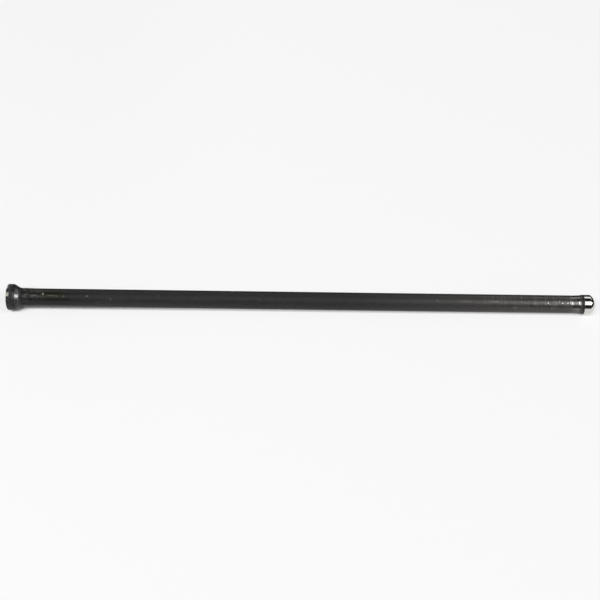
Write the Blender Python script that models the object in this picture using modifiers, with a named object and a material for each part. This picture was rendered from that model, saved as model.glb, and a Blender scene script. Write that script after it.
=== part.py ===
"""Engine pushrod: a seamless steel tube with a hardened cup pressed into one end and a hardened
ball tip into the other. The rod lies along X, the cup at -X and the ball at +X, and the origin is
on its axis at mid-length. All sizes are in metres."""

from math import asin, atan2, cos, hypot, pi, radians, sin, sqrt

import bpy
from mathutils import Matrix, Vector

# Whole rod
ROD_LENGTH = 0.2620  # face of the cup to the tip of the ball
FIT_GAP = 0.0002  # between pieces that are pressed together
EDGE_BREAK = 0.00015  # small bevel on the edges that meet at a joint

# Tube
TUBE_DIAMETER = 0.0080
TUBE_WALL = 0.0015
TUBE_SWELL = 0.00012  # how far a driven-in shank spreads the tube, on the radius
CUP_SWELL_LENGTH = 0.0070
BALL_SWELL_LENGTH = 0.0032

# Cup end
SOCKET_RADIUS = 0.0044  # of the ball seat
MOUTH_DEPTH = 0.0010  # straight wall between the face and the ball seat
MOUTH_CHAMFER = 0.00025
CUP_WALL = 0.00145  # beside the mouth
CUP_FLOOR = 0.0012  # bottom of the seat to the shoulder
RIM_CHAMFER = 0.00035
CUP_LAND = 0.0022  # straight outside of the head, from its face
CUP_ROUND = 0.0025  # from the land over to the cone
CUP_FILLET = 0.0026  # from the cone into the tube
CUP_SHANK_LENGTH = 0.0100

# Ball end
BALL_RADIUS = 0.0050  # of the spherical tip
BALL_TRIM = 0.0006  # how far inside that radius the straight side is turned
BALL_EDGE = 0.0008  # rounding between the tip and the straight side
BALL_LAND = 0.00285  # straight side
COLLAR_LENGTH = 0.00155  # taper from the tube out to the straight side
BALL_SHANK_LENGTH = 0.0080

# Shanks
SHANK_CHAMFER = 0.0004

# Fineness of the turned surfaces
ROUND_SIDES = 64
SEAT_STEPS = 14
TIP_STEPS = 10
ROUND_STEPS = 5
SWELL_STEPS = 6
SHARP_ANGLE = radians(20)
POLE_MERGE = 1e-6

# Sizes that follow
TUBE_RADIUS = TUBE_DIAMETER / 2
BORE_RADIUS = TUBE_RADIUS - TUBE_WALL
TUBE_END_RADIUS = TUBE_RADIUS + TUBE_SWELL
SHANK_RADIUS = BORE_RADIUS - FIT_GAP
CUP_RADIUS = SOCKET_RADIUS + CUP_WALL
CUP_HEAD_LENGTH = MOUTH_DEPTH + SOCKET_RADIUS + CUP_FLOOR
BALL_SIDE_RADIUS = BALL_RADIUS - BALL_TRIM
BALL_TO_EDGE = sqrt((BALL_RADIUS - BALL_EDGE) ** 2 - (BALL_SIDE_RADIUS - BALL_EDGE) ** 2)
BALL_HEAD_LENGTH = COLLAR_LENGTH + BALL_LAND + BALL_RADIUS - BALL_TO_EDGE
CUP_SHOULDER = -ROD_LENGTH / 2 + CUP_HEAD_LENGTH
BALL_SHOULDER = ROD_LENGTH / 2 - BALL_HEAD_LENGTH
TUBE_START = CUP_SHOULDER + FIT_GAP
TUBE_LENGTH = BALL_SHOULDER - FIT_GAP - TUBE_START


def clear_scene():
    for obj in list(bpy.data.objects):
        bpy.data.objects.remove(obj, do_unlink=True)


def new_collection(name):
    collection = bpy.data.collections.new(name)
    bpy.context.scene.collection.children.link(collection)
    return collection


def rod_axis(collection):
    """The empty that carries the pieces. Its own Z is the rod's axis, from the cup to the ball."""
    axis = bpy.data.objects.new("pushrod_axis", None)
    axis.empty_display_type = "ARROWS"
    axis.empty_display_size = TUBE_DIAMETER
    axis.rotation_euler = (0, pi / 2, 0)
    collection.objects.link(axis)
    return axis


def steel(name, colour, roughness, metallic):
    material = bpy.data.materials.new(name)
    material.use_nodes = True
    shader = material.node_tree.nodes["Principled BSDF"]
    shader.inputs["Base Color"].default_value = (*colour, 1)
    shader.inputs["Roughness"].default_value = roughness
    shader.inputs["Metallic"].default_value = metallic
    return material


def arc(centre, radius, start, end, steps):
    """Points (r, z) on an arc about centre, from the angle start to the angle end."""
    angles = [start + (end - start) * step / steps for step in range(steps + 1)]
    return [(centre[0] + radius * cos(a), centre[1] + radius * sin(a)) for a in angles]


def turned_piece(name, profile, closed, material):
    """A piece turned from a profile of (r, z) points that runs down its outer side. The profile
    starts half a side round, so that a flat of the facets faces straight down."""
    half_side = Matrix.Rotation(pi / ROUND_SIDES, 3, "Z")
    points = [half_side @ Vector((r, 0, z)) for r, z in profile]
    edges = [(i, i + 1) for i in range(len(points) - 1)]
    if closed:
        edges.append((len(points) - 1, 0))
    outline = bpy.data.meshes.new(name + "_outline")
    outline.from_pydata(points, edges, [])

    blank = bpy.data.objects.new(name + "_blank", outline)
    bpy.context.scene.collection.objects.link(blank)
    screw = blank.modifiers.new("turn", "SCREW")
    screw.axis = "Z"
    screw.steps = screw.render_steps = ROUND_SIDES
    screw.use_merge_vertices = True
    screw.merge_threshold = POLE_MERGE
    graph = bpy.context.evaluated_depsgraph_get()
    mesh = bpy.data.meshes.new_from_object(blank.evaluated_get(graph))
    bpy.data.objects.remove(blank, do_unlink=True)

    mesh.name = name
    mesh.shade_smooth()
    mesh.set_sharp_from_angle(angle=SHARP_ANGLE)
    mesh.materials.append(material)
    return bpy.data.objects.new(name, mesh)


def place(piece, along, axis, collection):
    """Puts a piece on the rod's axis, with its own zero at the distance along from mid-length."""
    collection.objects.link(piece)
    piece.parent = axis
    piece.location = (0, 0, along)


def swell(length, from_end):
    """Tube radius at a distance from the end that a shank has spread over this length."""
    share = min(from_end / length, 1)
    return TUBE_RADIUS + TUBE_SWELL * (1 + cos(pi * share)) / 2


def tube_profile():
    """Down the outside from the ball's end to the cup's end at zero, then back up the bore."""
    steps = range(1, SWELL_STEPS + 1)
    at_ball = [BALL_SWELL_LENGTH * step / SWELL_STEPS for step in steps]
    at_cup = [CUP_SWELL_LENGTH * step / SWELL_STEPS for step in steps]
    outside = [
        (TUBE_END_RADIUS - EDGE_BREAK, TUBE_LENGTH),
        (TUBE_END_RADIUS, TUBE_LENGTH - EDGE_BREAK),
    ]
    outside += [(swell(BALL_SWELL_LENGTH, s), TUBE_LENGTH - EDGE_BREAK - s) for s in at_ball]
    outside += [(swell(CUP_SWELL_LENGTH, s), EDGE_BREAK + s) for s in reversed(at_cup)]
    outside += [
        (TUBE_END_RADIUS, EDGE_BREAK),
        (TUBE_END_RADIUS - EDGE_BREAK, 0),
    ]
    bore = [
        (BORE_RADIUS + EDGE_BREAK, 0),
        (BORE_RADIUS, EDGE_BREAK),
        (BORE_RADIUS, TUBE_LENGTH - EDGE_BREAK),
        (BORE_RADIUS + EDGE_BREAK, TUBE_LENGTH),
    ]
    return outside + bore


def cone_between(drop, run, rounds):
    """The angle of a cone that drops this far over this run between a round and a fillet, and the
    share of the two that there is room for. Their radii together are rounds."""
    share = min(1, (run**2 + drop**2) / (2 * drop * rounds))
    rise = drop - rounds * share
    angle = atan2(rise, run) + asin(min(1, rounds * share / hypot(run, rise)))
    return angle, share


def cup_profile():
    """Down from the shank's end to the face, then up the seat. The shoulder is at zero."""
    face = -CUP_HEAD_LENGTH
    cone_run = CUP_HEAD_LENGTH - CUP_LAND - EDGE_BREAK
    drop = CUP_RADIUS - TUBE_END_RADIUS
    cone_angle, share = cone_between(drop, cone_run, CUP_ROUND + CUP_FILLET)
    fillet, over = CUP_FILLET * share, CUP_ROUND * share
    fillet_centre = (TUBE_END_RADIUS + fillet, -EDGE_BREAK)
    round_centre = (CUP_RADIUS - over, face + CUP_LAND)
    seat_centre = (0, face + MOUTH_DEPTH)
    shank = [
        (0, CUP_SHANK_LENGTH),
        (SHANK_RADIUS - SHANK_CHAMFER, CUP_SHANK_LENGTH),
        (SHANK_RADIUS, CUP_SHANK_LENGTH - SHANK_CHAMFER),
        (SHANK_RADIUS, 0),
        (TUBE_END_RADIUS - EDGE_BREAK, 0),
    ]
    head = arc(fillet_centre, fillet, pi, pi + cone_angle, ROUND_STEPS)
    head += arc(round_centre, over, cone_angle, 0, ROUND_STEPS)
    head += [
        (CUP_RADIUS, face + RIM_CHAMFER),
        (CUP_RADIUS - RIM_CHAMFER, face),
        (SOCKET_RADIUS + MOUTH_CHAMFER, face),
        (SOCKET_RADIUS, face + MOUTH_CHAMFER),
    ]
    return shank + head + arc(seat_centre, SOCKET_RADIUS, 0, pi / 2, SEAT_STEPS)


def ball_profile():
    """Down from the tip to the shank's end. The shoulder is at zero."""
    edge_centre = (BALL_SIDE_RADIUS - BALL_EDGE, COLLAR_LENGTH + BALL_LAND)
    ball_centre = (0, edge_centre[1] - BALL_TO_EDGE)
    meet = atan2(BALL_TO_EDGE, edge_centre[0])
    tip = arc(ball_centre, BALL_RADIUS, pi / 2, meet, TIP_STEPS)
    edge = arc(edge_centre, BALL_EDGE, meet, 0, ROUND_STEPS)
    collar = [
        (BALL_SIDE_RADIUS, COLLAR_LENGTH),
        (TUBE_END_RADIUS, EDGE_BREAK),
        (TUBE_END_RADIUS - EDGE_BREAK, 0),
    ]
    shank = [
        (SHANK_RADIUS, 0),
        (SHANK_RADIUS, SHANK_CHAMFER - BALL_SHANK_LENGTH),
        (SHANK_RADIUS - SHANK_CHAMFER, -BALL_SHANK_LENGTH),
        (0, -BALL_SHANK_LENGTH),
    ]
    return tip + edge[1:] + collar + shank


clear_scene()
parts = new_collection("engine_pushrod")
axis = rod_axis(parts)

black_steel = steel("blackened tube steel", (0.045, 0.044, 0.042), 0.38, 0.85)
cup_steel = steel("blackened hardened steel", (0.060, 0.058, 0.057), 0.34, 0.90)
ball_steel = steel("polished hardened steel", (0.62, 0.61, 0.59), 0.12, 1.0)

tube = turned_piece("push_tube", tube_profile(), True, black_steel)
place(tube, TUBE_START, axis, parts)

cup = turned_piece("cup_end", cup_profile(), False, cup_steel)
place(cup, CUP_SHOULDER, axis, parts)

ball = turned_piece("ball_end", ball_profile(), False, ball_steel)
place(ball, BALL_SHOULDER, axis, parts)
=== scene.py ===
"""The looks of an engine pushrod: a black steel tube with a cup pressed into one end and a polished
ball tip into the other, lying on white paper between two softboxes. Sizes are in metres. The rod
lies along X, the cup at -X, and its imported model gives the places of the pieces."""

from math import asin, atan, atan2, cos, hypot, pi, radians, sin, sqrt, tan

import bpy
from mathutils import Matrix, Vector


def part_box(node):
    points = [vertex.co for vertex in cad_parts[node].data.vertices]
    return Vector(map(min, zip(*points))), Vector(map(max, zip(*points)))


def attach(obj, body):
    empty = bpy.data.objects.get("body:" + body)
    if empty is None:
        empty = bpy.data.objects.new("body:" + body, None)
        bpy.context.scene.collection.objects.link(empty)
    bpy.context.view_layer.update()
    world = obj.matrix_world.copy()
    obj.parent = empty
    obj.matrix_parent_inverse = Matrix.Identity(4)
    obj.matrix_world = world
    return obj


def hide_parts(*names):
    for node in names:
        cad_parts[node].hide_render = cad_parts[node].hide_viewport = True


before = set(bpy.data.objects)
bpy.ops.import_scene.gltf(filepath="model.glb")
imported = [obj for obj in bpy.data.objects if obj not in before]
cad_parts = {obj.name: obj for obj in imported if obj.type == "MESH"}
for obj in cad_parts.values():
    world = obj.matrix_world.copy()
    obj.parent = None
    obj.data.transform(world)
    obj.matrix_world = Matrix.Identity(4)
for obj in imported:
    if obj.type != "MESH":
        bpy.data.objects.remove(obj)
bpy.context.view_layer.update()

# The tube is drawn seamless steel, blackened and oiled. The shanks of the two end pieces are
# driven into it, which has spread its ends a little. It is dull and dark towards the cup, and
# more and more rubbed towards the ball, where its skin is bare in patches and slightly rippled.
# Its colour also holds painted light: a painted highlight on top and painted shade below by the cup.
TUBE_RADIUS = 0.0040
TUBE_BORE_RADIUS = 0.0025
TUBE_END_RADIUS = 0.00412
TUBE_EDGE = 0.00015
TUBE_SWELL_AT_CUP = 0.0070
TUBE_SWELL_AT_BALL = 0.0032
TUBE_SIDES = 160
TUBE_RIPPLE = 0.000045
TUBE_RIPPLE_START = 0.104
TUBE_RIPPLE_FULL = 0.116
RIPPLES_A_METRE = 520
RIPPLES_ROUND = 1.3
RIPPLED_FROM_RADIUS = 0.0035
SWELL_STEPS = 12
EDGE_STEPS = 4
TUBE_RINGS_APART = 0.0005
BORE_RINGS_APART = 0.004

TUBE_BLACK = (0.020, 0.020, 0.020, 1)
TUBE_GREY = (0.078, 0.078, 0.076, 1)
TUBE_BROWN = (0.083, 0.075, 0.073, 1)
# This worn patch colour, and the rubbed ring and bare colours further down, are laid on lighter on
# top as a painted highlight.
TUBE_WORN_HIGHLIGHT_PATCH = (0.100, 0.097, 0.094, 1)
# Near the cup the black is painted darker below as shade and lighter on top as a highlight.
TUBE_SHADED_BLACK_NEAR_CUP = (0.015, 0.015, 0.015, 1)
TUBE_LIT_BLACK_NEAR_CUP = (0.028, 0.028, 0.028, 1)
# The mottle by the cup lies on the upper side only, so its grey is partly a painted highlight.
MOTTLE_BLACK = (0.016, 0.015, 0.015, 1)
MOTTLE_HIGHLIGHT_GREY = (0.100, 0.096, 0.093, 1)
OIL_FILM = (0.032, 0.034, 0.017, 1)
TUBE_SKIN = (0.045, 0.044, 0.044, 1)
RUBBED_RING_HIGHLIGHT = (0.25, 0.236, 0.231, 1)
BARE_HIGHLIGHT_BY_BALL = (0.28, 0.271, 0.263, 1)
SCALE_SPECK = (0.30, 0.295, 0.285, 1)
SCRAPED_STEEL_HIGHLIGHT = (0.58, 0.57, 0.55, 1)
PALE_CHIP_AND_GLINT = (0.80, 0.79, 0.72, 1)
TUBE_DIRT = (0.008, 0.008, 0.004, 1)
TUBE_SHINE = 0.25
TUBE_BUMP = 0.000012

tube_low, tube_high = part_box("push_tube")


class Flow:
    """One output of a node. Arithmetic on it adds Math nodes, and node() adds any other kind."""

    def __init__(self, tree, socket=None):
        self.tree = tree
        self.socket = socket

    def node(self, kind, settings=None, sockets=None, output=0):
        """Adds a node: first its settings, then the values or links of its sockets."""
        node = self.tree.nodes.new(kind)
        for name, value in (settings or {}).items():
            setattr(node, name, value)
        for name, value in (sockets or {}).items():
            if isinstance(value, Flow):
                self.tree.links.new(value.socket, node.inputs[name])
            else:
                node.inputs[name].default_value = value
        return Flow(self.tree, node.outputs[output] if node.outputs else None)

    def output(self, name):
        """Another output of the same node."""
        return Flow(self.tree, self.socket.node.outputs[name])

    def math(self, operation, first, second=0.0):
        """A Math node on one or two values."""
        return self.node("ShaderNodeMath", {"operation": operation}, {0: first, 1: second})

    def __add__(self, other):
        return self.math("ADD", self, other)

    def __sub__(self, other):
        return self.math("SUBTRACT", self, other)

    def __rsub__(self, other):
        return self.math("SUBTRACT", other, self)

    def __mul__(self, other):
        return self.math("MULTIPLY", self, other)

    def __truediv__(self, other):
        return self.math("DIVIDE", self, other)

    def __pow__(self, other):
        return self.math("POWER", self, other)

    def __mod__(self, other):
        return self.math("FLOORED_MODULO", self, other)

    __radd__ = __add__
    __rmul__ = __mul__

    def rise(self, start, end):
        """0 up to start, 1 from end on, and a smooth step between. It falls if end is less."""
        return self.node("ShaderNodeMapRange", {"interpolation_type": "SMOOTHSTEP"},
                         {0: self, 1: start, 2: end})

    def between(self, first, last, soft):
        """1 from first to last, and 0 further than soft outside them."""
        return self.rise(first - soft, first) * self.rise(last + soft, last)

    def blend(self, low, high):
        """The colour low where this is 0, and the colour high where it is 1."""
        return self.node("ShaderNodeMix", {"data_type": "RGBA"}, {0: self, 6: low, 7: high}, 2)

    def scaled(self, x, y, z):
        """This vector with each of its numbers multiplied."""
        return self.node("ShaderNodeVectorMath", {"operation": "MULTIPLY"}, {0: self, 1: (x, y, z)})

    def noise(self, detail, roughness=0.5):
        """Noise of about one blotch a unit at this vector, most of it between 0.3 and 0.7."""
        return self.node("ShaderNodeTexNoise", {}, {
            "Vector": self, "Scale": 1.0, "Detail": detail, "Roughness": roughness})


def lathe():
    """A tree that turns an outline round the X axis. The outline's points are (x, radius, 0), and
    they run towards +X on the outside. Ripple is how far the surface wanders in and out, from
    nothing at Ripple Start to its full depth at Ripple Full."""
    tree = bpy.data.node_groups.new("lathe", "GeometryNodeTree")
    for name, kind in (("Outline", "NodeSocketGeometry"), ("Sides", "NodeSocketInt"),
                       ("Ripple", "NodeSocketFloat"), ("Ripple Start", "NodeSocketFloat"),
                       ("Ripple Full", "NodeSocketFloat"), ("Material", "NodeSocketMaterial")):
        tree.interface.new_socket(name, in_out="INPUT", socket_type=kind)
    tree.interface.new_socket("Turned", in_out="OUTPUT", socket_type="NodeSocketGeometry")
    given = Flow(tree).node("NodeGroupInput", output="Outline")
    sides = given.output("Sides")
    points = given.node("GeometryNodeAttributeDomainSize", {"component": "MESH"}, {0: given})
    index = given.node("GeometryNodeInputIndex")
    side = index.math("FLOOR", index / points)
    outline_place = given.node("GeometryNodeInputPosition")
    point = given.node("GeometryNodeSampleIndex", {"data_type": "FLOAT_VECTOR"},
                       {"Geometry": given, "Value": outline_place, "Index": index % points})
    along = point.node("ShaderNodeSeparateXYZ", {}, {0: point}, "X")
    radius = along.output("Y")
    turn = side * (-2 * pi) / sides  # this way round the faces look outward
    across = turn.math("SINE", turn)
    upward = turn.math("COSINE", turn)

    spot = turn.node("ShaderNodeCombineXYZ", {}, {
        "X": along * RIPPLES_A_METRE, "Y": across * RIPPLES_ROUND, "Z": upward * RIPPLES_ROUND})
    wander = spot.noise(1.5) - 0.5
    share = along.rise(given.output("Ripple Start"), given.output("Ripple Full"))
    outside = radius.math("GREATER_THAN", radius, RIPPLED_FROM_RADIUS)
    turned_radius = radius + wander * share * outside * given.output("Ripple")

    grid = turn.node("GeometryNodeMeshGrid", {}, {"Vertices X": sides + 1, "Vertices Y": points})
    place = turn.node("ShaderNodeCombineXYZ", {}, {
        "X": along, "Y": turned_radius * across, "Z": turned_radius * upward})
    turned = grid.node("GeometryNodeSetPosition", {}, {"Geometry": grid, "Position": place})
    closed = turned.node("GeometryNodeMergeByDistance", {}, {"Geometry": turned, "Distance": 1e-6})
    smooth = closed.node("GeometryNodeSetShadeSmooth", {}, {"Geometry": closed})
    whole = smooth.node("GeometryNodeRealizeInstances", {}, {"Geometry": smooth})
    finished = whole.node("GeometryNodeSetMaterial", {}, {
        "Geometry": whole, "Material": given.output("Material")})
    finished.node("NodeGroupOutput", {}, {"Turned": finished})
    return tree


def turned_piece(name, outline, tree, **inputs):
    """A piece turned from the outline by the lathe tree, as a plain mesh. The inputs are named as
    the tree names them, with _ for a space."""
    blank = bpy.data.meshes.new(name + "_outline")
    blank.from_pydata([(x, radius, 0) for x, radius in outline], [], [])
    work = bpy.data.objects.new(name + "_work", blank)
    bpy.context.scene.collection.objects.link(work)
    modifier = work.modifiers.new("lathe", "NODES")
    modifier.node_group = tree
    for key, value in inputs.items():
        socket = tree.interface.items_tree[key.replace("_", " ")]
        modifier[socket.identifier] = value
    graph = bpy.context.evaluated_depsgraph_get()
    mesh = bpy.data.meshes.new_from_object(work.evaluated_get(graph))
    bpy.data.objects.remove(work, do_unlink=True)
    mesh.name = name
    piece = bpy.data.objects.new(name, mesh)
    bpy.context.scene.collection.objects.link(piece)
    return piece


def broken_edges(corners, edge):
    """The corners as an outline, with an arc of the radius edge at each."""
    points = [corners[0]]
    for before, here, after in zip(corners, corners[1:], corners[2:]):
        back = (Vector(before) - Vector(here)).normalized()
        ahead = (Vector(after) - Vector(here)).normalized()
        half_angle = back.angle(ahead) / 2
        centre = Vector(here) + (back + ahead).normalized() * (edge / sin(half_angle))
        reach = edge / tan(half_angle)
        start = (Vector(here) + back * reach - centre).normalized()
        end = (Vector(here) + ahead * reach - centre).normalized()
        points += [tuple(centre + start.slerp(end, step / EDGE_STEPS) * edge)
                   for step in range(EDGE_STEPS + 1)]
    return points + [corners[-1]]


def with_rings(outline, apart):
    """The outline with points added, so that neighbours are about this far apart or less."""
    points = [outline[0]]
    for here, there in zip(outline, outline[1:]):
        count = max(1, round(hypot(there[0] - here[0], there[1] - here[1]) / apart))
        for step in range(1, count + 1):
            share = step / count
            points.append((here[0] + (there[0] - here[0]) * share,
                           here[1] + (there[1] - here[1]) * share))
    return points


def swollen(share):
    """The tube's radius at this share of the way from its end to where the swelling stops."""
    return TUBE_RADIUS + (TUBE_END_RADIUS - TUBE_RADIUS) * (1 + cos(pi * share)) / 2


def tube_outline():
    """The tube's section, from the middle of the wall at the cup round to there again."""
    start, end = tube_low.x, tube_high.x
    wall_middle = (TUBE_BORE_RADIUS + TUBE_END_RADIUS) / 2
    shares = [step / SWELL_STEPS for step in range(1, SWELL_STEPS + 1)]
    mottle_and_highlight_by_cup = [(start + TUBE_SWELL_AT_CUP * share, swollen(share)) for share in shares]
    at_ball = [(end - TUBE_SWELL_AT_BALL * share, swollen(share)) for share in reversed(shares)]
    cup_edge = broken_edges(
        [(start, wall_middle), (start, TUBE_END_RADIUS), mottle_and_highlight_by_cup[0]], TUBE_EDGE)
    ball_edge = broken_edges(
        [at_ball[-1], (end, TUBE_END_RADIUS), (end, wall_middle)], TUBE_EDGE)
    outside = with_rings(cup_edge + mottle_and_highlight_by_cup[1:] + at_ball[:-1] + ball_edge, TUBE_RINGS_APART)
    bore = [(end, TUBE_BORE_RADIUS), (start, TUBE_BORE_RADIUS)]
    return outside + with_rings(bore, BORE_RINGS_APART) + [outside[0]]


def new_material(name):
    """An empty material, and the place on the piece as its Object coordinates."""
    material = bpy.data.materials.new(name)
    material.use_nodes = True
    material.node_tree.nodes.clear()
    place = Flow(material.node_tree).node("ShaderNodeTexCoord", output="Object")
    return material, place


def steel(place, colour, metallic, roughness, shine, height, depth):
    """The steel's shader and the material's output. The bump is the pattern height, and depth is
    how far its 1 stands above its 0."""
    normal = place.node("ShaderNodeBump", {}, {"Strength": 1.0, "Distance": depth, "Height": height})
    surface = place.node("ShaderNodeBsdfPrincipled", {}, {
        "Base Color": colour, "Metallic": metallic, "Roughness": roughness,
        "Specular IOR Level": shine, "Normal": normal})
    place.node("ShaderNodeOutputMaterial", {}, {"Surface": surface})


# Small marks on the tube, each as its place along it, its height round it in degrees up from the
# front, its length, its width and its strength: pale chips and painted glints, spots rubbed bare and
# painted highlights, and dirt. Most bare spots, and the pale ones by the cup, lie where the light
# catches the tube.
PALE_CHIP_AND_GLINT_MARKS = (
    (-0.1226, 65, 0.0007, 0.0006, 0.10), (-0.1193, 62, 0.0013, 0.0007, 0.06),
    (-0.1148, 74, 0.0004, 0.0007, 0.55), (-0.1113, 63, 0.0026, 0.0004, 0.07),
    (-0.1089, 61, 0.0005, 0.0004, 0.12), (-0.1056, 59, 0.0005, 0.0004, 0.12),
    (-0.0952, 62, 0.0010, 0.0006, 0.08), (-0.0848, 44, 0.0005, 0.0005, 0.10),
    (-0.0310, 118, 0.0006, 0.0005, 0.30), (0.0190, 150, 0.0007, 0.0005, 0.20),
    (0.0520, 235, 0.0008, 0.0006, 0.30))
BARE_AND_HIGHLIGHT_MARKS = (
    (0.0862, 62, 0.0022, 0.0004, 0.14), (0.0946, 24, 0.0011, 0.0007, 0.14),
    (0.0728, 60, 0.0040, 0.0005, 0.05), (0.0602, 63, 0.0006, 0.0004, 0.12),
    (0.1094, 57, 0.0004, 0.0006, 0.80), (0.1100, 48, 0.0004, 0.0004, 0.50),
    (0.1106, 43, 0.0005, 0.0003, 0.40), (0.1143, 66, 0.0004, 0.0008, 0.35),
    (0.1158, 57, 0.0006, 0.0005, 0.60), (0.1181, 57, 0.0005, 0.0005, 0.55),
    (0.1193, 60, 0.0004, 0.0008, 0.60), (0.1205, 56, 0.0010, 0.0009, 0.80),
    (0.1219, 58, 0.0009, 0.0009, 0.75), (0.1232, 60, 0.0005, 0.0011, 1.00))
DIRT_MARKS = (
    (-0.1104, 85, 0.0040, 0.0008, 0.40), (-0.1089, 43, 0.0007, 0.0004, 0.90),
    (-0.1040, 42, 0.0005, 0.0004, 0.90), (-0.0900, 140, 0.0050, 0.0010, 0.80),
    (-0.0440, 200, 0.0030, 0.0008, 0.60), (0.1094, 38, 0.0004, 0.0004, 0.90))


def marks(place, listed):
    """1 in small ovals on the tube, as they are listed, and 0 elsewhere."""
    total = 0.0
    for along, height, length, width, strength in listed:
        turn = radians(height)
        centre = (along, -TUBE_RADIUS * cos(turn), TUBE_RADIUS * sin(turn))
        away = place.node("ShaderNodeVectorMath", {"operation": "SUBTRACT"}, {0: place, 1: centre})
        away = away.scaled(1 / length, 1 / width, 1 / width)
        distance = away.node("ShaderNodeVectorMath", {"operation": "LENGTH"}, {0: away}, "Value")
        total = distance.rise(1.0, 0.3) * strength + total
    return total


def tube_finish():
    """Black steel with drawing lines, mottled and oily by the cup. Towards the ball it is rubbed in
    rings, patchy with wear and at last rubbed to the steel. These are laid on lighter on top as a
    painted highlight, the mottle by the cup lies on top only as a painted highlight, and the
    underside by the cup is painted darker as shade."""
    material, place = new_material("blackened tube steel")
    along = place.node("ShaderNodeSeparateXYZ", {}, {0: place}, "X")
    across, up = along.output("Y"), along.output("Z")

    blotches = place.scaled(160, 420, 420).noise(4, 0.6)
    draw_lines = place.scaled(45, 2600, 2600).noise(3, 0.6)
    grain = place.scaled(2600, 5200, 5200).noise(2, 0.6)
    scale_spots = place.scaled(700, 900, 900).noise(2, 0.5)
    ring_place = along.node("ShaderNodeCombineXYZ", {}, {
        "X": along * 900, "Y": across * 160, "Z": up * 160})
    rub_rings = ring_place.noise(4, 0.8)
    patches = place.scaled(560, 330, 330).noise(2, 0.6).rise(0.40, 0.62)
    mottle = place.scaled(560, 1300, 1300).noise(3, 0.7).rise(0.38, 0.64)
    skin = (draw_lines * 0.6 + blotches * 0.4).rise(0.36, 0.66)
    chip_and_glint_marks = marks(place, PALE_CHIP_AND_GLINT_MARKS)
    bare_and_highlight_marks = marks(place, BARE_AND_HIGHLIGHT_MARKS)
    dirt_marks = marks(place, DIRT_MARKS)

    # Painted highlight: 1 on top of the tube. The rubbed rings, worn patches, bare end and specks
    # towards the ball are laid on lighter on top with it, and near the cup it parts the painted
    # shade below from the lighter top.
    painted_light_top = up.rise(0.0002, 0.0020)
    # Painted highlight: the mottle by the cup lies only on the tube's upper side, where the light
    # catches it.
    mottle_and_highlight_by_cup = along.rise(-0.1125, -0.1180) * up.rise(0.0010, 0.0026)
    oily = along.between(-0.1142, -0.1070, 0.0025) * up.rise(0.0018, 0.0030)
    left_end = along.rise(-0.085, -0.110)
    right_half = along.rise(0.010, 0.118)
    brown_end = along.rise(0.050, 0.090)
    rubbed = along.rise(0.064, 0.108)
    wear_and_highlight_end = along.rise(0.104, 0.118) * (0.2 + painted_light_top * 0.8)
    bare_and_highlight = along.rise(0.1186, 0.1206) * (0.3 + painted_light_top * 0.7)
    rings = rubbed * rub_rings.rise(0.40, 0.75) * (0.15 + painted_light_top * 0.55) * (0.2 + mottle * 0.8)
    specks = scale_spots.rise(0.70, 0.76) * (0.16 + wear_and_highlight_end * 0.5)

    black = right_half.blend(TUBE_BLACK, brown_end.blend(TUBE_GREY, TUBE_BROWN))
    worn_and_highlighted = (wear_and_highlight_end * patches).blend(black, TUBE_WORN_HIGHLIGHT_PATCH)
    # Painted shade and highlight: near the cup the tube is darker below and lighter on top.
    at_end = left_end.blend(worn_and_highlighted, painted_light_top.blend(TUBE_SHADED_BLACK_NEAR_CUP, TUBE_LIT_BLACK_NEAR_CUP))
    near_cup = mottle_and_highlight_by_cup.blend(at_end, mottle.blend(MOTTLE_BLACK, MOTTLE_HIGHLIGHT_GREY))
    oiled = (oily * 0.7).blend(near_cup, OIL_FILM)
    mottled = (skin * 0.22 + mottle * 0.16).blend(oiled, TUBE_SKIN)
    ringed_and_highlighted = rings.blend(mottled, RUBBED_RING_HIGHLIGHT)
    polished = (bare_and_highlight * (0.4 + patches * 0.6)).blend(ringed_and_highlighted, BARE_HIGHLIGHT_BY_BALL)
    speckled = specks.blend(polished, SCALE_SPECK)
    # Painted highlights and glints: the bare spots and the pale chips by the cup lie where the light
    # catches the tube.
    scraped_and_highlighted = bare_and_highlight_marks.blend(speckled, SCRAPED_STEEL_HIGHLIGHT)
    chipped_and_glinting = chip_and_glint_marks.blend(scraped_and_highlighted, PALE_CHIP_AND_GLINT)
    colour = dirt_marks.blend(chipped_and_glinting, TUBE_DIRT)

    metallic = (0.25 + right_half * 0.45 + bare_and_highlight * 0.20 + left_end * 0.45
                + bare_and_highlight_marks * 0.4 - dirt_marks * 0.3 - chip_and_glint_marks * 0.7)
    roughness = (0.52 - right_half * 0.08 - rubbed * 0.08 - bare_and_highlight * 0.14 - left_end * 0.18
                 + (blotches - 0.5) * 0.12 + (draw_lines - 0.5) * 0.10 - bare_and_highlight_marks * 0.08)
    lines = draw_lines * (1 - rubbed) * 0.5 + rub_rings * rubbed * 2.6
    height = lines + grain * 0.25 + scale_spots * 0.25
    steel(place, colour, metallic, roughness, TUBE_SHINE, height, TUBE_BUMP)
    return material


lathe_tree = lathe()
tube = turned_piece("tube", tube_outline(), lathe_tree, Sides=TUBE_SIDES, Ripple=TUBE_RIPPLE,
                    Ripple_Start=TUBE_RIPPLE_START, Ripple_Full=TUBE_RIPPLE_FULL,
                    Material=tube_finish())
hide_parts("push_tube")
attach(tube, "root")

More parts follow.
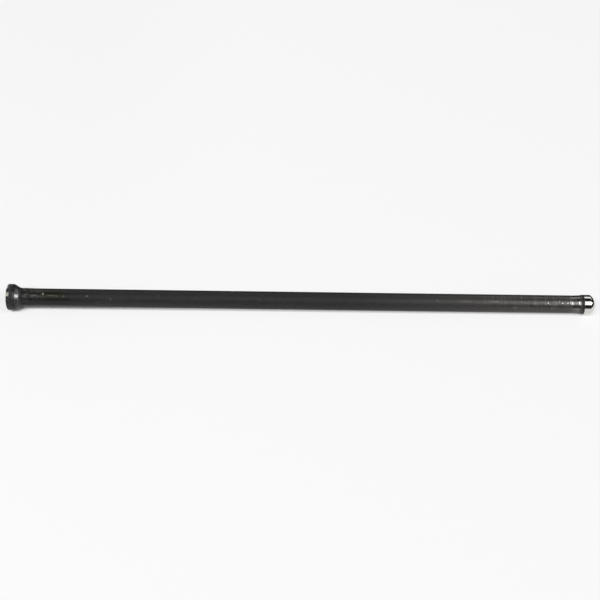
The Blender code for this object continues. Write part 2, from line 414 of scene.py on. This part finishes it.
# The cup end is turned from bar, hardened and blackened. Its ball seat is ground into the square
# face, its outside runs over a round and down a cone into the tube's line, and its shank is a
# press fit in the tube. Handling has rubbed the rim and the cone bright in places, and painted
# highlights on them stand for the light they catch.
SEAT_RADIUS = 0.0044
MOUTH_DEPTH = 0.0010
MOUTH_CHAMFER = 0.00025
RIM_CHAMFER = 0.00035
CUP_LAND = 0.0022
CUP_ROUND = 0.0025
CUP_FILLET = 0.0026
CUP_HEAD_LENGTH = 0.0066
SHANK_RADIUS = 0.0023
SHANK_CHAMFER = 0.0004
SEAM = 0.00007
END_PIECE_EDGE = 0.00007
END_PIECE_SIDES = 192
END_PIECE_RINGS_APART = 0.0002
SPHERE_STEPS = 40
CUP_ROUND_STEPS = 14

CUP_BLACK = (0.011, 0.010, 0.012, 1)
CUP_SOOT_GREY = (0.052, 0.050, 0.052, 1)
CUP_DARK_LINE = (0.010, 0.010, 0.010, 1)
RUBBED_CONE_HIGHLIGHT = (0.40, 0.395, 0.385, 1)
RUBBED_RIM_HIGHLIGHT = (0.52, 0.50, 0.44, 1)
SEAT_DARK = (0.20, 0.195, 0.185, 1)
SEAT_BRIGHT = (0.42, 0.41, 0.39, 1)
END_PIECE_SHINE = 0.3
CUP_BUMP = 0.000018
TOOL_MARKS_A_METRE = 6500

cup_low, cup_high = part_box("cup_end")
cup_face = cup_low.x
cup_radius = cup_high.z


def arc(centre, radius, start, end, steps):
    """Points on an arc about centre, from the angle start to the angle end."""
    angles = [start + (end - start) * step / steps for step in range(steps + 1)]
    return [(centre[0] + radius * cos(a), centre[1] + radius * sin(a)) for a in angles]


def cup_outline():
    """From the bottom of the seat out to the face, over the head and down to the shank's end."""
    end = cup_high.x
    drop = cup_radius - TUBE_END_RADIUS
    run = CUP_HEAD_LENGTH - CUP_LAND - TUBE_EDGE
    rise = drop - CUP_ROUND - CUP_FILLET
    cone = atan2(rise, run) + asin((CUP_ROUND + CUP_FILLET) / hypot(run, rise))
    seat = arc((cup_face + MOUTH_DEPTH, 0), SEAT_RADIUS, 0, pi / 2, SPHERE_STEPS)
    rim = broken_edges([
        seat[-1],
        (cup_face + MOUTH_CHAMFER, SEAT_RADIUS),
        (cup_face, SEAT_RADIUS + MOUTH_CHAMFER),
        (cup_face, cup_radius - RIM_CHAMFER),
        (cup_face + RIM_CHAMFER, cup_radius),
        (cup_face + CUP_LAND, cup_radius)], END_PIECE_EDGE)
    over = arc((cup_face + CUP_LAND, cup_radius - CUP_ROUND), CUP_ROUND,
               pi / 2, pi / 2 - cone, CUP_ROUND_STEPS)
    fillet = arc((cup_face + CUP_HEAD_LENGTH - TUBE_EDGE, TUBE_END_RADIUS + CUP_FILLET), CUP_FILLET,
                 1.5 * pi - cone, 1.5 * pi, CUP_ROUND_STEPS)
    shoulder = broken_edges([
        fillet[-1],
        (tube_low.x - SEAM, TUBE_END_RADIUS),
        (tube_low.x - SEAM, SHANK_RADIUS),
        (end - SHANK_CHAMFER, SHANK_RADIUS),
        (end, SHANK_RADIUS - SHANK_CHAMFER),
        (end, 0)], END_PIECE_EDGE)
    return with_rings(seat + rim[1:] + over[1:] + fillet + shoulder[1:], END_PIECE_RINGS_APART)


def round_the_rod(place):
    """How far along the rod a place is, how far from its axis, and how far up round it in
    degrees from the front."""
    along = place.node("ShaderNodeSeparateXYZ", {}, {0: place}, "X")
    across, up = along.output("Y"), along.output("Z")
    radius = (across * across + up * up) ** 0.5
    return along, radius, up.math("ARCTAN2", up, across * -1) * (180 / pi)


def turning_marks(along, radius, a_metre):
    """Noise in fine rings round the rod, as a tool or a wheel leaves them."""
    rings = along.node("ShaderNodeCombineXYZ", {}, {"X": along * a_metre, "Y": radius * a_metre})
    return rings.noise(2, 0.7)


def cup_finish():
    """Black hardened steel with soot and a few darker lines, rubbed bright on its rim and its cone
    with painted highlights on both, and ground clean in the seat."""
    material, place = new_material("blackened hardened steel")
    along, radius, up_from_front = round_the_rod(place)
    from_face = along - cup_face
    blotches = place.scaled(500, 500, 500).noise(4, 0.6)
    spots = blotches.rise(0.56, 0.66)
    pits = place.scaled(1500, 1500, 1500).noise(3, 0.6)
    tool_marks = turning_marks(along, radius, TOOL_MARKS_A_METRE)
    soot = (blotches * 0.6 + pits * 0.4).rise(0.42, 0.58)

    deeper = from_face - MOUTH_DEPTH
    from_seat = (deeper.math("MAXIMUM", deeper) ** 2 + radius * radius) ** 0.5
    seat = from_seat.rise(SEAT_RADIUS + 0.00015, SEAT_RADIUS + 0.00005)
    rim_line = radius.rise(cup_radius - 0.0009, cup_radius - 0.0005)
    rim = from_face.rise(0.0008, 0.0004) * rim_line
    # Painted highlight and reflection: the rim chamfer is rubbed bright in blotches, and painted
    # bright on its upper part and in a spot in front where the light catches it.
    rim_front_highlight = from_face.rise(0.0016, 0.0010) * up_from_front.between(56, 70, 5)
    rim_top_reflection = from_face.rise(0.0014, 0.0006) * up_from_front.between(92, 125, 8)
    rim_wear_and_highlight = (rim * (up_from_front.between(95, 128, 6) + spots * 0.6)
               + rim_front_highlight * rim_line * (0.6 + blotches * 0.5) + rim_top_reflection * rim_line * 0.25)
    # Painted highlight: the cone is rubbed a little brighter all round, and much more in a spot and
    # a streak at the heights where the light catches it.
    cone_highlight_spots = up_from_front.between(46, 62, 10) + spots * 0.4
    cone_wear_and_highlight = (from_face.between(0.0041, 0.0050, 0.0006) * (0.12 + cone_highlight_spots)
                + from_face.between(0.0042, 0.0048, 0.0004)
                * up_from_front.between(72, 90, 10) * 0.4)
    # Darker lines: past the land, at the head's end by the tube on its upper side, and low on the
    # front of the rim chamfer.
    dark_lines = (from_face.between(0.0023, 0.0027, 0.0003) * 0.35
             + from_face.rise(CUP_HEAD_LENGTH - 0.0006, CUP_HEAD_LENGTH - 0.0001)
             * up_from_front.between(55, 110, 20) * 0.7
             + rim * up_from_front.between(26, 46, 6) * 0.9)

    black = soot.blend(CUP_BLACK, CUP_SOOT_GREY)
    handled_and_highlighted = (cone_wear_and_highlight * 0.50).blend(black, RUBBED_CONE_HIGHLIGHT)
    worn_and_highlighted = rim_wear_and_highlight.blend(handled_and_highlighted, RUBBED_RIM_HIGHLIGHT)
    with_dark_lines = dark_lines.blend(worn_and_highlighted, CUP_DARK_LINE)
    ground = (tool_marks * 0.5 + blotches * 0.5).blend(SEAT_DARK, SEAT_BRIGHT)
    colour = seat.blend(with_dark_lines, ground)
    metallic = 0.35 + rim_wear_and_highlight * 0.6 + cone_wear_and_highlight * 0.35 + seat * 0.6
    roughness = 0.48 + (blotches - 0.5) * 0.2 - seat * 0.2 - cone_wear_and_highlight * 0.20 - rim_wear_and_highlight * 0.25
    height = tool_marks * 0.55 + pits * 0.45
    steel(place, colour, metallic, roughness, END_PIECE_SHINE, height, CUP_BUMP)
    return material


cup = turned_piece("cup", cup_outline(), lathe_tree, Sides=END_PIECE_SIDES, Ripple=0.0,
                   Ripple_Start=0.0, Ripple_Full=1.0, Material=cup_finish())
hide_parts("cup_end")
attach(cup, "root")

# The ball end is turned, hardened and ground steel. A black taper spreads from the tube's end to
# the short straight side, which is ground and polished with the domed tip, and its shank is a
# press fit in the tube. Fine rings of grinding and faint smears are left in the polish.
BALL_TIP_RADIUS = 0.0050
BALL_TRIM = 0.0006
BALL_EDGE = 0.0008
BALL_EDGE_STEPS = 12
BALL_LAND = 0.00285
COLLAR_LENGTH = 0.00155
POLISH_FROM_COLLAR = 0.00035

COLLAR_BLACK = (0.045, 0.043, 0.042, 1)
COLLAR_GREY = (0.105, 0.101, 0.098, 1)
COLLAR_GRIME = (0.014, 0.013, 0.013, 1)
RUBBED_COLLAR_HIGHLIGHT = (0.50, 0.49, 0.47, 1)
SMEARED_POLISH = (0.62, 0.61, 0.59, 1)
CLEAN_POLISH = (0.70, 0.69, 0.67, 1)
BALL_BUMP = 0.000004
GRINDING_MARKS_A_METRE = 5000

ball_low, ball_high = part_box("ball_end")
ball_side_radius = BALL_TIP_RADIUS - BALL_TRIM
ball_to_edge = sqrt((BALL_TIP_RADIUS - BALL_EDGE) ** 2 - (ball_side_radius - BALL_EDGE) ** 2)
ball_centre = ball_high.x - BALL_TIP_RADIUS
ball_edge_centre = ball_centre + ball_to_edge
collar_end = ball_edge_centre - BALL_LAND


def ball_outline():
    """From the shank's end over the collar and the straight side to the tip."""
    start = ball_low.x
    meet = atan2(ball_side_radius - BALL_EDGE, ball_to_edge)
    collar = broken_edges([
        (start, 0),
        (start, SHANK_RADIUS - SHANK_CHAMFER),
        (start + SHANK_CHAMFER, SHANK_RADIUS),
        (tube_high.x + SEAM, SHANK_RADIUS),
        (tube_high.x + SEAM, TUBE_END_RADIUS),
        (collar_end, ball_side_radius),
        (ball_edge_centre, ball_side_radius)], END_PIECE_EDGE)
    edge = arc((ball_edge_centre, ball_side_radius - BALL_EDGE), BALL_EDGE,
               pi / 2, meet, BALL_EDGE_STEPS)
    tip = arc((ball_centre, 0), BALL_TIP_RADIUS, meet, 0, SPHERE_STEPS)
    return with_rings(collar + edge[1:] + tip[1:], END_PIECE_RINGS_APART)


def ball_finish():
    """Polished steel, and a dark collar with a line of grime beside the polish, its start rubbed
    bright in blotches and painted with a highlight at the heights where the tube's highlight runs."""
    material, place = new_material("polished hardened steel")
    along, radius, up_from_front = round_the_rod(place)
    blotches = place.scaled(450, 450, 450).noise(4, 0.6)
    ring_marks = turning_marks(along, radius, GRINDING_MARKS_A_METRE)
    smears = place.scaled(250, 900, 900).noise(3, 0.6)

    edge = collar_end + POLISH_FROM_COLLAR
    polished = (along + (blotches - 0.5) * 0.0003).rise(edge - 0.00012, edge + 0.00012)
    grimy_line = along.between(edge - 0.0009, edge - 0.0003, 0.0003) * 0.6
    collar_start = collar_end - COLLAR_LENGTH
    # Painted highlight: the collar's start is painted bright at the heights where the tube's
    # highlight runs across it, and rubbed in blotches.
    rubbed = (along.rise(collar_start + 0.0004, collar_start + 0.0001)
              * (up_from_front.between(50, 66, 8) + blotches.rise(0.56, 0.66) * 0.4))
    with_dark_lines = grimy_line.blend(blotches.blend(COLLAR_BLACK, COLLAR_GREY), COLLAR_GRIME)
    collar = rubbed.blend(with_dark_lines, RUBBED_COLLAR_HIGHLIGHT)
    bright = smears.rise(0.3, 0.7).blend(SMEARED_POLISH, CLEAN_POLISH)
    colour = polished.blend(collar, bright)
    metallic = 0.55 + polished * 0.45
    roughness = 0.36 - polished * 0.29 + (smears - 0.5) * 0.05
    height = ring_marks * 0.6 + blotches * 0.4
    steel(place, colour, metallic, roughness, END_PIECE_SHINE, height, BALL_BUMP)
    return material


ball = turned_piece("ball", ball_outline(), lathe_tree, Sides=END_PIECE_SIDES, Ripple=0.0,
                    Ripple_Start=0.0, Ripple_Full=1.0, Material=ball_finish())
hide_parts("ball_end")
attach(ball, "root")

# The rod lies on a sheet of white paper. It touches it with the rim of the cup head and with the
# straight side of the ball end, so the paper slopes a third of a degree against the rod's axis.
# A share of the paper's light is fill that takes no shadow, least at the cup.
PAPER_SIZE = 3.0
PAPER_WHITE = 0.96
FILL_AT_CUP = 0.04
FILL_AT_BALL = 0.37
MORE_FILL_PAST_BALL = 0.35
DARK_PAPER_IN_STEEL = 0.95
DIMMER_IN_WORN_END = 0.14

cup_touch = Vector((cup_face + CUP_LAND, 0, -cup_radius))
ball_touch = Vector((ball_edge_centre, 0, -ball_side_radius))
paper_slope = atan((ball_touch.z - cup_touch.z) / (ball_touch.x - cup_touch.x))


def ray_kinds(tree):
    """1 for what the camera sees straight, and 1 for what it sees in the steel."""
    straight = Flow(tree).node("ShaderNodeLightPath", output="Is Camera Ray")
    return straight, straight.output("Is Glossy Ray") + straight.output("Is Transmission Ray")


def paper_finish():
    """White paper that takes the rod's shadow. In the steel it is dark from a little behind the
    rod on and past the ball's end, like the room round the real sheet, and white elsewhere."""
    material, place = new_material("white paper")
    along = place.node("ShaderNodeSeparateXYZ", {}, {0: place}, "X")
    across = along.output("Y")
    straight, mirrored = ray_kinds(material.node_tree)
    behind = across.rise(0.012, 0.022) * along.rise(-0.145, -0.130)
    dark = 1 - along.rise(0.158, 0.150) * (1 - behind)
    light = 1 - mirrored * dark * DARK_PAPER_IN_STEEL
    past_ball = along.rise(0.126, 0.132) * across.between(-0.008, 0.004, 0.012)
    fill = (FILL_AT_CUP + along.rise(-0.125, -0.030) * (FILL_AT_BALL - FILL_AT_CUP)
            + past_ball * MORE_FILL_PAST_BALL)
    white = (light * (PAPER_WHITE - fill)).blend((0, 0, 0, 1), (1, 1, 1, 1))
    shadowed = light.node("ShaderNodeBsdfDiffuse", {}, {"Color": white})
    by_worn_end = along.rise(0.02, 0.10) * along.rise(0.130, 0.122)
    glow = (straight + mirrored) * fill - mirrored * by_worn_end * DIMMER_IN_WORN_END
    glowing = light.node("ShaderNodeEmission", {}, {"Strength": glow * light})
    both = light.node("ShaderNodeAddShader", {}, {0: shadowed, 1: glowing})
    both.node("ShaderNodeOutputMaterial", {}, {"Surface": both})
    material.cycles.emission_sampling = "NONE"
    return material


paper_mesh = bpy.data.meshes.new("paper")
half = PAPER_SIZE / 2
paper_mesh.from_pydata([(-half, -half, 0), (half, -half, 0), (half, half, 0), (-half, half, 0)],
                       [], [(0, 1, 2, 3)])
paper_mesh.transform(Matrix.Translation(cup_touch) @ Matrix.Rotation(-paper_slope, 4, "Y"))
paper_mesh.materials.append(paper_finish())
paper = bpy.data.objects.new("paper", paper_mesh)
bpy.context.scene.collection.objects.link(paper)

# The camera looks down on the rod from in front. It is turned a little about its own axis, so
# the ball's end lies lower in the picture, and a pixel of the photo is about 0.45 mm at the rod.
CAMERA_DISTANCE = 0.5907
CAMERA_ELEVATION = radians(50)
CAMERA_ROLL = radians(0.757)
CAMERA_LENS = 79.4
CAMERA_SENSOR = 36
PHOTO_SIZE = 600
ROD_MIDDLE_PIXEL = (301.6, 300.83)

camera_data = bpy.data.cameras.new("camera")
camera_data.lens = CAMERA_LENS
camera_data.sensor_width = CAMERA_SENSOR
camera_turn = (Matrix.Rotation(pi / 2 - CAMERA_ELEVATION, 4, "X")
               @ Matrix.Rotation(CAMERA_ROLL, 4, "Z"))
metres_per_pixel = CAMERA_DISTANCE * CAMERA_SENSOR / CAMERA_LENS / PHOTO_SIZE
off_centre = Vector(((PHOTO_SIZE / 2 - ROD_MIDDLE_PIXEL[0]) * metres_per_pixel,
                     (ROD_MIDDLE_PIXEL[1] - PHOTO_SIZE / 2) * metres_per_pixel,
                     CAMERA_DISTANCE))
camera = bpy.data.objects.new("camera", camera_data)
camera.matrix_world = Matrix.Translation(camera_turn @ off_centre) @ camera_turn
bpy.context.scene.collection.objects.link(camera)
bpy.context.scene.camera = camera

# The studio has two softboxes in a white room: the key one up on the right, and a strong one up
# in front and a little to the left, which lights the paper and the dull steel but isn't mirrored.
# What the polished ball mirrors is the room, with dark bands between its bright ones.
LAMP_DISTANCE = 6.0
KEY_SIZE = (3.55, 1.55)
KEY_RADIANCE = 3
KEY_SIDEWAYS = radians(41)
KEY_HEIGHT = radians(66)
FRONT_SIZE = (4.4, 1.7)
FRONT_RADIANCE = 15.4
FRONT_SIDEWAYS = radians(-22)
FRONT_HEIGHT = radians(62)
ROOM_WHITE = 1.2
BRIGHT_RIGHT = 4.8
BRIGHT_GAP = 2.8
DARK_ROOM = 0.016
ROOM_LIGHT = 0.12


def softbox(name, sideways, height, size, radiance):
    """A rectangular lamp that faces the rod, with its long side towards the right. Sideways is
    its angle towards +X, and height its angle from the front horizon over the top."""
    data = bpy.data.lights.new(name, "AREA")
    data.shape = "RECTANGLE"
    data.size, data.size_y = size
    data.energy = radiance * pi * size[0] * size[1]
    lamp = bpy.data.objects.new(name, data)
    way = Vector((sin(sideways), -cos(sideways) * cos(height), cos(sideways) * sin(height)))
    right = (Vector((1, 0, 0)) - way * way.x).normalized()
    top = way.cross(right)
    turn = Matrix((right, top, way)).transposed().to_4x4()
    lamp.matrix_world = Matrix.Translation(way * LAMP_DISTANCE) @ turn
    bpy.context.scene.collection.objects.link(lamp)
    return lamp


def white_room():
    """The room as the world: white to the camera, in bands to the steel, and a weak light for the
    rest. Height is in degrees from the front horizon over the top, and sideways is 1 at +X."""
    world = bpy.data.worlds.new("white room")
    world.use_nodes = True
    world.node_tree.nodes.clear()
    straight, mirrored = ray_kinds(world.node_tree)
    view = straight.node("ShaderNodeTexCoord", output="Generated")
    sideways = view.node("ShaderNodeSeparateXYZ", {}, {0: view}, "X")
    behind, overhead = sideways.output("Y"), sideways.output("Z")
    height = sideways.math("ARCTAN2", overhead, behind * -1) * (180 / pi)
    dark_bands = height.between(5.5, 44, 2.5) + height.between(86.5, 128, 3) + height.rise(152, 156)
    dark_right = sideways.rise(0.78, 0.86)
    dim_middle = height.rise(120, 90) * sideways.rise(-0.25, 0) * 0.6
    narrower = sideways.rise(0.40, 0.75)
    bright_right = (height.rise(43 + narrower * 5, 47 + narrower * 5)
                    * height.rise(90 - narrower * 20, 86 - narrower * 20)
                    * sideways.rise(0.14, 0.38) * sideways.rise(0.86, 0.78))
    bright_gap = height.between(108, 140, 5) * sideways.between(0.965, 0.990, 0.006)
    in_steel = ((1 - dark_bands) * (1 - dark_right) * (1 - dim_middle) * ROOM_WHITE
                + bright_right * BRIGHT_RIGHT + bright_gap * BRIGHT_GAP + DARK_ROOM)
    strength = straight + mirrored * in_steel + (1 - straight - mirrored) * ROOM_LIGHT
    room = view.node("ShaderNodeBackground", {}, {"Color": (1, 1, 1, 1), "Strength": strength})
    room.node("ShaderNodeOutputWorld", {}, {"Surface": room})
    world.cycles.sampling_method = "NONE"
    return world


softbox("key_softbox", KEY_SIDEWAYS, KEY_HEIGHT, KEY_SIZE, KEY_RADIANCE)
front = softbox("front_softbox", FRONT_SIDEWAYS, FRONT_HEIGHT, FRONT_SIZE, FRONT_RADIANCE)
front.visible_glossy = False
bpy.context.scene.world = white_room()
bpy.context.scene.view_settings.view_transform = "Standard"
